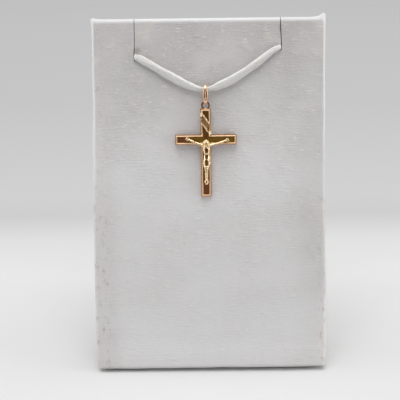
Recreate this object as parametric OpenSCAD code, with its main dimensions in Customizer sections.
// Crucifix pendant on a leaning display board
// Units are millimetres. Z is up, the front faces -Y, X is to the right.
// The board and all that hangs on it are drawn upright and then leaned back together.

/* [Display board] */
// Width of the board
panel_w = 68; // [60:1:80]
// Height of the board along its face
panel_h = 105; // [101:1:120]
// Thickness of the padded board
panel_t = 5; // [4:0.5:7]
// Radius of the board's wrapped edges
panel_edge_r = 1; // [0.5:0.1:1.5]
// Radius of the board's corners seen from the front
panel_corner_r = 1.4; // [1.1:0.1:3]
// Backward lean of the board in degrees
lean = 12; // [8:0.5:16]
// Depth of the flat worn on the edge that it stands on
foot_flat = 0.15; // [0.08:0.01:0.25]
// How far the pinched wrap stands out at each top corner
ear_out = 0.6; // [0.3:0.1:1]
// Length of the pinched wrap along each edge
ear_len = 2.2; // [1.5:0.1:4]

/* [Slits] */
// Width of each slit
slit_w = 0.6; // [0.55:0.01:0.9]
// Distance of the left slit from the board's middle
slit_left = 21.6; // [21.5:0.1:21.7]
// Distance of the right slit from the board's middle
slit_right = 20.9; // [20.8:0.1:21]
// Length of the left slit from the top edge
slit_left_len = 12.1; // [12:0.1:16]
// Length of the right slit from the top edge
slit_right_len = 9.4; // [9.3:0.1:13]

/* [Easel leg] */
// Thickness of the leg's card
leg_t = 2.4; // [1.6:0.1:4]
// Width of the leg at its top
leg_top_w = 20; // [14:1:28]
// Width of the leg at its foot
leg_foot_w = 30; // [20:1:44]
// Height on the board of the leg's top edge
leg_top_up = 78; // [66:1:90]
// Length of the tab that is glued to the board
leg_tab_len = 16; // [10:1:24]
// Distance of the foot's heel behind the edge that the board stands on
leg_reach = 36; // [30:1:46]

/* [Hanging point] */
// Sideways place of the bail on the board
hang_x = -1.1; // [-1.2:0.1:-1]
// Distance of the ribbon's middle from the board's face at the bail
hang_out = 1.65; // [1.6:0.01:1.8]
// Height of the ribbon's middle on the board at the bail
hang_up = 84.45; // [84.4:0.01:84.5]

/* [Bail] */
// Height of the bail
bail_h = 5.9; // [5.3:0.1:7]
// Inner radius of the bail's round ends
bail_in_r = 1; // [0.95:0.01:1.1]
// Thickness of the bail's band
band_t = 0.45; // [0.35:0.01:0.5]
// Width of the bail's leaf at its middle
leaf_w = 1.5; // [1.1:0.05:2]
// Width of the bail's band over the ribbon
band_top_w = 0.8; // [0.6:0.02:1]
// Width of the bail's band where the ring hangs on it
band_w = 0.44; // [0.3:0.01:0.5]
// Spacing of the two grooves in the leaf
groove_gap = 0.6; // [0.4:0.02:0.8]
// Radius of each groove
groove_r = 0.13; // [0.08:0.01:0.16]
// Length of each groove
groove_len = 2; // [1:0.1:2.6]

/* [Ring on the cross] */
// Radius of the ring's hole
ring_in_r = 0.78; // [0.76:0.01:1]
// Thickness of the ring's wire
ring_wire = 0.5; // [0.4:0.02:0.7]
// Slack between the ring and the bail's band
ring_slack = 0.12; // [0.1:0.01:0.16]
// Part of the ring's wire that is soldered into the cross
ring_sink = 0.34; // [0.2:0.01:0.4]

/* [Cross] */
// Height of the cross
cross_h = 26; // [24:0.5:32]
// Width across the arms
cross_w = 18; // [16:0.5:24]
// Width of the bars
bar_w = 3; // [2.8:0.1:3.4]
// Thickness of the bars
bar_t = 1.4; // [1.2:0.05:1.7]
// Distance from the top of the cross down to the middle of its arms
arm_drop = 9.1; // [8.9:0.1:10]
// Width of the sloped outer edge
bevel_w = 0.3; // [0.15:0.01:0.4]
// Width of the raised rim beside the slope
rim_w = 0.32; // [0.2:0.01:0.4]
// Depth of the sunk field inside the rim
field_deep = 0.35; // [0.2:0.01:0.5]
// Clear space between the foot of the cross and the board
rest_gap = 0.12; // [0.08:0.01:0.3]

/* [Figure] */
// Height of the figure from crown to toes
figure_h = 13.9; // [13:0.1:15]
// Distance between the two hand nails
figure_span = 11.5; // [10.5:0.1:13]
// Height of the crown of the head over the middle of the arms
crown_up = 0.35; // [0.1:0.05:0.6]
// Radius of the nails' shanks
nail_r = 0.2; // [0.15:0.01:0.25]
// Radius of the nails' heads
nail_head_r = 0.32; // [0.25:0.01:0.4]
// Clear space round a nail and between two fixed pieces
seat_gap = 0.04; // [0.02:0.01:0.06]

/* [Scroll] */
// Width of the scroll, side to side
scroll_w = 2.5; // [2:0.1:2.9]
// Height of the scroll's band, up and down
scroll_band = 3; // [2.4:0.1:3.4]
// Drop of the scroll from its left end to its right end
scroll_drop = 3.2; // [2.4:0.1:4]
// Height of the scroll's middle over the middle of the arms
scroll_up = 4.8; // [4.4:0.1:5.2]
// Thickness of the scroll's band
scroll_t = 0.22; // [0.16:0.01:0.4]
// Height of the scroll's raised edges over its band
scroll_lip = 0.08; // [0.04:0.01:0.12]
// Radius of the curls at the scroll's ends
curl_r = 0.24; // [0.16:0.01:0.3]

/* [Hidden] */

$fn = 64;
fine = 180;
skin = 0.01;
beyond = 200;

// The board's lowest edge, and how far it is lifted to stand on its worn flat
panel_low = (panel_t - panel_edge_r) * sin(lean) + panel_edge_r * (1 - cos(lean));
panel_lift = panel_low - foot_flat;

// Front and back of the whole, which set the origin between them
whole_front = panel_edge_r * (cos(lean) + sin(lean) - 1);
stand_line = (panel_t - panel_edge_r) * cos(lean) + panel_edge_r * sin(lean);
whole_back = stand_line + leg_reach;
middle_y = (whole_front + whole_back) / 2;

// Places on the bail and the ring, measured down from the ribbon's middle
bail_out_r = bail_in_r + band_t;
bail_straight = bail_h - 2 * bail_out_r;
ring_r = ring_in_r + ring_wire / 2;
ring_drop = bail_straight + bail_in_r - ring_slack + ring_in_r;

// Places on the cross, measured from the ring's middle
cross_top = ring_sink - ring_wire - ring_in_r;
arms_z = cross_top - arm_drop;
cross_tilt = asin((hang_out - bar_t / 2 - rest_gap) / (cross_h - cross_top));
rim_y = -bar_t / 2;
field_y = rim_y + field_deep;

// Columns of the ribbon's route: sideways, out of the board's face, up, width, thickness
SIDE = 0;
OUT = 1;
UP = 2;
WIDE = 3;
THICK = 4;
route = [
    [-21.6, 0, 94, 1.6, 0.36],
    [-21.5, 0.5, 94, 1.6, 0.5],
    [-20.9, 0.8, 93.9, 1.8, 0.7],
    [-19.6, 0.9, 93.3, 2.2, 0.9],
    [-17.2, 1, 91.9, 2.2, 1.1],
    [-14.8, 1, 90.5, 2.2, 1.2],
    [-12.3, 1.1, 89, 2.6, 1.2],
    [-9.9, 1.1, 87.6, 2.8, 1.2],
    [-7.5, 1.2, 86.3, 2.7, 1.2],
    [-5, 1.4, 85.2, 2.2, 1.3],
    [-2.9, 1.6, 84.6, 1.6, 1.4],
    [hang_x, hang_out, hang_up, 1.4, 1.4],
    [0.7, 1.6, 84.7, 1.5, 1.4],
    [2.8, 1.4, 85.4, 2.3, 1.3],
    [5.6, 1.2, 86.6, 2.5, 1.2],
    [8.1, 1.1, 88, 2.6, 1.2],
    [10.5, 1.1, 89.5, 2.3, 1.2],
    [13, 1, 91.2, 2.2, 1.2],
    [15.4, 1, 93, 2, 1.1],
    [17.8, 0.9, 94.8, 1.8, 0.9],
    [19.6, 0.9, 96, 1.6, 0.7],
    [20.7, 0.6, 96.4, 1.5, 0.5],
    [20.9, 0, 96.5, 1.5, 0.36],
    [20.9, -2.5, 96.5, 1.5, 0.36],
    [20.9, -5, 96.5, 1.5, 0.36],
    [20.7, -5.5, 96.5, 1.5, 0.4],
    [20, -5.7, 96.5, 1.6, 0.5],
    [14, -5.6, 96.2, 2.4, 0.5],
    [7, -5.6, 95.8, 2.4, 0.5],
    [0, -5.6, 95.3, 2.4, 0.5],
    [-7, -5.6, 94.9, 2.4, 0.5],
    [-14, -5.6, 94.5, 2.4, 0.5],
    [-20.7, -5.7, 94.1, 1.8, 0.5],
    [-21.4, -5.5, 94, 1.6, 0.4],
    [-21.6, -5, 94, 1.6, 0.36],
    [-21.6, -2.5, 94, 1.6, 0.36]
];
ribbon_sides = 8;

// The figure's lumps, as shares of its height
// Columns: sideways, out of the field, down from the crown, half width, half depth, half height
HALF_W = 3;
HALF_D = 4;
HALF_H = 5;
lump_fn = 10;
DOWN = 2;
trunk = [
    [0, 0.062, 0.14, 0.026, 0.028, 0.026],
    [0, 0.062, 0.17, 0.066, 0.032, 0.03],
    [0, 0.07, 0.23, 0.062, 0.038, 0.036],
    [0.002, 0.066, 0.295, 0.052, 0.034, 0.03],
    [0.004, 0.06, 0.353, 0.045, 0.03, 0.026],
    [0.006, 0.062, 0.417, 0.058, 0.035, 0.036]
];
cloth = [
    [0.006, 0.062, 0.418, 0.064, 0.04, 0.022],
    [0.006, 0.066, 0.49, 0.069, 0.044, 0.036],
    [0.004, 0.07, 0.56, 0.06, 0.043, 0.03],
    [0.002, 0.07, 0.59, 0.053, 0.04, 0.014]
];
cloth_fold = [
    [-0.05, 0.09, 0.44, 0.012, 0.014, 0.012],
    [-0.004, 0.106, 0.49, 0.012, 0.014, 0.014],
    [0.05, 0.094, 0.455, 0.014, 0.014, 0.014]
];
cloth_knot = [
    [0.062, 0.07, 0.44, 0.022, 0.026, 0.022],
    [0.07, 0.062, 0.53, 0.016, 0.022, 0.02]
];
leg_left = [
    [-0.028, 0.062, 0.545, 0.033, 0.034, 0.036],
    [-0.025, 0.08, 0.65, 0.029, 0.032, 0.028],
    [-0.018, 0.062, 0.74, 0.025, 0.028, 0.03],
    [-0.01, 0.048, 0.85, 0.017, 0.02, 0.02],
    [-0.008, 0.046, 0.905, 0.019, 0.022, 0.018],
    [-0.012, 0.058, 0.98, 0.016, 0.014, 0.014]
];
leg_right = [
    [0.034, 0.062, 0.545, 0.033, 0.034, 0.036],
    [0.024, 0.086, 0.645, 0.029, 0.032, 0.028],
    [0.018, 0.066, 0.735, 0.025, 0.028, 0.03],
    [0.01, 0.056, 0.85, 0.017, 0.02, 0.02],
    [0.006, 0.06, 0.905, 0.019, 0.02, 0.018],
    [0.006, 0.07, 0.975, 0.016, 0.014, 0.014]
];

// The head's lumps, from its own middle: sideways, forward, down, and the three half sizes
head_place = [-0.004, 0.092, 0.084];
head_nod = 16;
head_tilt = 14;
skull = [[0, 0, 0, 0.054, 0.062, 0.068]];
hair = [[0, -0.018, -0.008, 0.066, 0.056, 0.068]];
lock = [
    [0.05, -0.022, 0.01, 0.022, 0.034, 0.034],
    [0.054, -0.03, 0.08, 0.018, 0.026, 0.026]
];
beard = [
    [0, 0.03, 0.046, 0.034, 0.03, 0.024],
    [0, 0.026, 0.08, 0.016, 0.018, 0.014]
];
brow = [
    [-0.026, 0.05, -0.014, 0.014, 0.008, 0.006],
    [0.026, 0.05, -0.014, 0.014, 0.008, 0.006]
];
nose = [
    [0, 0.056, -0.01, 0.006, 0.008, 0.006],
    [0, 0.066, 0.016, 0.01, 0.01, 0.007]
];

// The arm's lumps from shoulder to palm
// Columns: share of the way, sag, out of the field, half thickness
ALONG = 0;
SAG = 1;
ARM_OUT = 2;
ARM_R = 3;
arm_rows = [
    [0, 0, 0.062, 0.027],
    [0.24, 0.004, 0.062, 0.023],
    [0.5, 0.007, 0.058, 0.019],
    [0.64, 0.005, 0.054, 0.0205],
    [0.88, 0, 0.042, 0.015],
    [1, 0, 0.036, 0.019]
];
shoulder_side = 0.066;
shoulder_down = 0.142;
finger_len = 0.05;
finger_r = 0.0095;
finger_fan = 12;

// Places of the nails and the scroll's peg on the cross: sideways, up from the ring's middle
figure_x = 0.1;
left_share = 0.465;
left_rise = 0.9;
right_fall = 0.5;
feet_share = 0.925;
nail_head_t = 0.12;
nail_out = 0.056;
feet_nail_out = 0.082;
hand_left = [-left_share * figure_span, arms_z + crown_up * left_rise];
hand_right = [(1 - left_share) * figure_span, arms_z - crown_up * right_fall];
feet = [figure_x, arms_z + crown_up - feet_share * figure_h];
nail_places = [hand_left, hand_right, feet];
scroll_peg = [0, arms_z + scroll_up];

// The scroll's outline, in steps across its width
scroll_steps = 12;
scroll_wave = 0.12;
lip_w = 0.2;

// A point of the leaned board: its place front to back and its height
function leaned(deep, up) = [
    deep * cos(lean) + up * sin(lean) - middle_y,
    up * cos(lean) - deep * sin(lean) + panel_lift
];

// Leans what is drawn on the upright board back with it
module on_panel() {
    translate([0, -middle_y, panel_lift])
        rotate([-lean, 0, 0])
            children();
}

// Hangs what is drawn about the ring's middle at its place on the board
module on_cross() {
    on_panel()
        translate([hang_x, -hang_out, hang_up - ring_drop])
            rotate([cross_tilt, 0, 0])
                children();
}

// Rectangle with round corners, about its middle
module round_rect(w, h, r) {
    square([w - 2 * r, h], center = true);
    square([w, h - 2 * r], center = true);
    for (sx = [-1, 1])
        for (sy = [-1, 1])
            translate([sx * (w / 2 - r), sy * (h / 2 - r)])
                circle(r);
}

// Stands a flat outline up on the X and Z axes, from Y 0 back to a depth
module upright(depth) {
    translate([0, depth, 0])
        rotate([90, 0, 0])
            linear_extrude(depth)
                children();
}

// Lays a flat outline on the Y and Z axes, centred across a width along X
module sideways(width) {
    rotate([90, 0, 90])
        translate([0, 0, -width / 2])
            linear_extrude(width)
                children();
}

// One slit, cut down from the board's top edge
module slit(x, len) {
    translate([x - slit_w / 2, -panel_t, panel_h - len])
        cube([slit_w, 3 * panel_t, 2 * len]);
}

// Pinched wrap at a top corner
module ear(side) {
    corner = panel_w / 2;
    translate([0, panel_t / 4, 0])
        upright(panel_t / 2)
            polygon([
                [side * (corner - ear_len), panel_h - ear_out],
                [side * (corner - ear_len), panel_h - skin],
                [side * (corner - ear_out / 2), panel_h + ear_out],
                [side * (corner + ear_out / 2), panel_h + ear_out / 2],
                [side * (corner - skin), panel_h - ear_len],
                [side * (corner - ear_out), panel_h - ear_len]
            ]);
}

// The padded board before its slits and its standing edge are cut
module panel_block() {
    intersection() {
        translate([0, 0, panel_h / 2])
            upright(panel_t)
                round_rect(panel_w, panel_h, panel_corner_r);
        translate([0, panel_t / 2, 0])
            linear_extrude(panel_h)
                round_rect(panel_w, panel_t, panel_edge_r);
        translate([0, panel_t / 2, panel_h / 2])
            sideways(panel_w)
                round_rect(panel_t, panel_h, panel_edge_r);
    }
}

module display_panel() {
    color([0.93, 0.92, 0.91])
        difference() {
            on_panel()
                difference() {
                    union() {
                        panel_block();
                        for (side = [-1, 1])
                            ear(side);
                    }
                    slit(-slit_left, slit_left_len);
                    slit(slit_right, slit_right_len);
                }
            translate([-beyond / 2, -beyond / 2, -beyond])
                cube(beyond);
        }
}

// Strut and glued tab of one card, wider at the foot
module easel_leg() {
    heel = whole_back - middle_y;
    top = leaned(panel_t + leg_t, leg_top_up);
    slope = atan2(heel - top[0], top[1]);
    crotch_up = leg_top_up - leg_t / sin(lean + slope);
    tab_up = leg_top_up - leg_tab_len;
    color([0.86, 0.85, 0.82])
        intersection() {
            sideways(leg_foot_w)
                polygon([
                    leaned(panel_t, leg_top_up),
                    top,
                    [heel, 0],
                    [heel - leg_t / cos(slope), 0],
                    leaned(panel_t + leg_t, crotch_up),
                    leaned(panel_t + leg_t, tab_up),
                    leaned(panel_t, tab_up)
                ]);
            translate([0, -beyond / 2, 0])
                upright(beyond)
                    polygon([
                        [-leg_foot_w / 2, 0],
                        [leg_foot_w / 2, 0],
                        [leg_top_w / 2, leg_top_up],
                        [-leg_top_w / 2, leg_top_up]
                    ]);
        }
}

// The ribbon's route closes on itself, and each of its rows gives one ring of points
function turn(i) = (i + len(route)) % len(route);
function middle_of(i) = [route[i][SIDE], -route[i][OUT], route[i][UP]];
function unit(v) = v / norm(v);
function run_at(i) = unit(middle_of(turn(i + 1)) - middle_of(turn(i - 1)));
function wide_at(i) = let (run = run_at(i)) unit([0, 0, 1] - run[UP] * run);
function thick_at(i) = cross(run_at(i), wide_at(i));
function ring_point(i, k) =
    let (a = 360 * k / ribbon_sides)
    middle_of(i)
        + route[i][WIDE] / 2 * cos(a) * wide_at(i)
        + route[i][THICK] / 2 * sin(a) * thick_at(i);
function mark(i, k) = turn(i) * ribbon_sides + k % ribbon_sides;

module ribbon() {
    color([0.95, 0.94, 0.92])
        on_panel()
            polyhedron(
                points = [
                    for (i = [0 : len(route) - 1])
                        for (k = [0 : ribbon_sides - 1])
                            ring_point(i, k)
                ],
                faces = [
                    for (i = [0 : len(route) - 1])
                        for (k = [0 : ribbon_sides - 1])
                            for (half = [0, 1])
                                half == 0
                                    ? [mark(i, k), mark(i, k + 1), mark(i + 1, k + 1)]
                                    : [mark(i, k), mark(i + 1, k + 1), mark(i + 1, k)]
                ]
            );
}

// Straight-sided loop, its upper round end about 0 and its lower one below
module loop_outline(r) {
    circle(r);
    translate([-r, -bail_straight])
        square([2 * r, bail_straight]);
    translate([0, -bail_straight])
        circle(r);
}

// Outline of the bail's leaf from the front, about its middle
module leaf_outline() {
    bulge = (leaf_w - band_w) / 2;
    side_r = (pow(bail_h / 2, 2) + pow(bulge, 2)) / (2 * bulge);
    intersection() {
        translate([side_r - leaf_w / 2, 0])
            circle(side_r, $fn = fine);
        translate([leaf_w / 2 - side_r, 0])
            circle(side_r, $fn = fine);
    }
    square([band_w, bail_h], center = true);
    translate([-band_top_w / 2, bail_straight / 2])
        square([band_top_w, bail_out_r]);
}

module bail() {
    color([0.85, 0.6, 0.38])
        on_panel()
            translate([hang_x, -hang_out, hang_up])
                difference() {
                    intersection() {
                        sideways(leaf_w)
                            difference() {
                                loop_outline(bail_out_r);
                                loop_outline(bail_in_r);
                            }
                        translate([0, -bail_h / 2, -bail_straight / 2])
                            upright(bail_h)
                                leaf_outline();
                    }
                    for (side = [-1, 1])
                        translate([side * groove_gap / 2, -bail_out_r, -(bail_straight + groove_len) / 2])
                            cylinder(h = groove_len, r = groove_r, $fn = 24);
                }
}

// Section of a bar with its two front edges sloped off
module bar_section(w) {
    polygon([
        [-w / 2, bar_t / 2],
        [w / 2, bar_t / 2],
        [w / 2, rim_y + bevel_w],
        [w / 2 - bevel_w, rim_y],
        [bevel_w - w / 2, rim_y],
        [-w / 2, rim_y + bevel_w]
    ]);
}

// Upright bar about its middle, sloped off at the front all round
module bar(length) {
    intersection() {
        translate([0, 0, -length / 2])
            linear_extrude(length)
                bar_section(bar_w);
        rotate([0, 90, 0])
            translate([0, 0, -bar_w / 2])
                linear_extrude(bar_w)
                    bar_section(length);
    }
}

// Puts its first child at the upright's middle and lays its second along the arms
module both_bars() {
    translate([0, 0, cross_top - cross_h / 2])
        children(0);
    translate([0, 0, arms_z])
        rotate([0, 90, 0])
            children(1);
}

// Box of a bar's field from its floor out to the front, smaller all round by a margin
module field_box(length, margin) {
    edge = bevel_w + rim_w + margin;
    translate([edge - bar_w / 2, rim_y - bar_t, edge - length / 2])
        cube([bar_w - 2 * edge, bar_t + field_deep - margin, length - 2 * edge]);
}

// Box that a bar fills, with a margin in front of its rim
module bar_box(length, margin) {
    translate([-bar_w / 2, rim_y - margin, -length / 2])
        cube([bar_w, bar_t + margin, length]);
}

// Round bar along Y at a place on the cross, between two depths
module shank(place, r, front, back) {
    translate([place[0], back, place[1]])
        rotate([90, 0, 0])
            cylinder(h = back - front, r = r, $fn = 32);
}

module cross() {
    color([0.8, 0.56, 0.38])
        on_cross()
            difference() {
                union() {
                    both_bars() {
                        bar(cross_h);
                        bar(cross_w);
                    }
                    rotate([90, 0, 0])
                        rotate_extrude()
                            translate([ring_r, 0])
                                circle(ring_wire / 2, $fn = 32);
                }
                both_bars() {
                    field_box(cross_h, 0);
                    field_box(cross_w, 0);
                }
                for (place = concat(nail_places, [scroll_peg]))
                    shank(place, nail_r + seat_gap, rim_y - skin, bar_t / 2 + skin);
            }
}

// Space that the cross and its rims fill, less the field, with a margin for what seats there
module seat_block() {
    difference() {
        both_bars() {
            bar_box(cross_h, seat_gap);
            bar_box(cross_w, seat_gap);
        }
        both_bars() {
            field_box(cross_h, seat_gap);
            field_box(cross_w, seat_gap);
        }
    }
}

// A round lump of the figure at its row of a table
module lump(row) {
    translate([row[SIDE] * figure_h, -row[OUT] * figure_h, -row[DOWN] * figure_h])
        scale([row[HALF_W] * figure_h, row[HALF_D] * figure_h, row[HALF_H] * figure_h])
            sphere(1, $fn = lump_fn);
}

// A limb: each lump of a table drawn out to the next
module limb(rows) {
    for (i = [0 : max(0, len(rows) - 2)])
        hull() {
            lump(rows[i]);
            lump(rows[min(i + 1, len(rows) - 1)]);
        }
}

// One arm from the shoulder to a nailed hand, side 1 for the right and -1 for the left
module arm(side, hand) {
    start = [side * shoulder_side * figure_h, -shoulder_down * figure_h];
    palm = [hand[0] - figure_x, hand[1] - arms_z - crown_up];
    rows = [
        for (row = arm_rows)
            let (place = start + row[ALONG] * (palm - start))
            [
                place[0] / figure_h,
                row[ARM_OUT],
                row[SAG] - place[1] / figure_h,
                row[ARM_R],
                row[ARM_R],
                row[ARM_R]
            ]
    ];
    limb(rows);
    tip = rows[len(rows) - 1];
    for (finger = [-1, 0, 1])
        hull()
            for (reach = [0, finger_len])
                lump([
                    tip[SIDE] + side * reach * cos(finger * finger_fan),
                    tip[OUT] - finger_r / 2,
                    tip[DOWN] + reach * sin(finger * finger_fan) + finger * finger_r,
                    finger_r,
                    finger_r,
                    finger_r
                ]);
}

// Head with hair and beard, nodding and tilted a little to the left
module head() {
    translate([head_place[SIDE] * figure_h, -head_place[OUT] * figure_h, -head_place[DOWN] * figure_h])
        rotate([head_nod, head_tilt, 0]) {
            for (rows = [skull, hair, lock, beard, brow, nose])
                limb(rows);
            mirror([1, 0, 0])
                limb(lock);
        }
}

// Nail through a place of the cross, its head at a share of the figure's height out of the field
module nail(place, out) {
    head_y = field_y - out * figure_h;
    shank(place, nail_r, head_y, bar_t / 2);
    shank(place, nail_head_r, head_y - nail_head_t, head_y);
}

module corpus() {
    color([0.93, 0.74, 0.36])
        on_cross() {
            difference() {
                translate([figure_x, field_y, arms_z + crown_up]) {
                    for (rows = [trunk, cloth, cloth_fold, cloth_knot, leg_left, leg_right])
                        limb(rows);
                    arm(-1, hand_left);
                    arm(1, hand_right);
                    head();
                }
                seat_block();
            }
            nail(hand_left, nail_out);
            nail(hand_right, nail_out);
            nail(feet, feet_nail_out);
        }
}

// Height of the scroll's middle line at a share of its width
function scroll_z(s) = arms_z + scroll_up - (s - 0.5) * scroll_drop + scroll_wave * sin(360 * s);

// Outline along the scroll's width between two heights over its middle line
module scroll_strip(low, high) {
    polygon(concat(
        [for (i = [0 : scroll_steps]) let (s = i / scroll_steps) [(s - 0.5) * scroll_w, scroll_z(s) + low]],
        [
            for (i = [scroll_steps : -1 : 0])
                let (s = i / scroll_steps)
                [(s - 0.5) * scroll_w, scroll_z(s) + high]
        ]
    ));
}

module scroll() {
    back = rim_y - seat_gap;
    half = scroll_band / 2;
    color([0.82, 0.62, 0.38])
        on_cross() {
            translate([0, back - scroll_t, 0])
                upright(scroll_t)
                    scroll_strip(-half, half);
            for (edge = [-half, half - lip_w])
                translate([0, back - scroll_t - scroll_lip, 0])
                    upright(scroll_t / 2 + scroll_lip)
                        scroll_strip(edge, edge + lip_w);
            for (s = [0, 1])
                translate([(s - 0.5) * scroll_w, back - curl_r, scroll_z(s) - half])
                    cylinder(h = scroll_band, r = curl_r, $fn = 32);
            shank(scroll_peg, nail_r, back - scroll_t / 2, bar_t / 2);
        }
}

display_panel();
easel_leg();
ribbon();
bail();
cross();
corpus();
scroll();
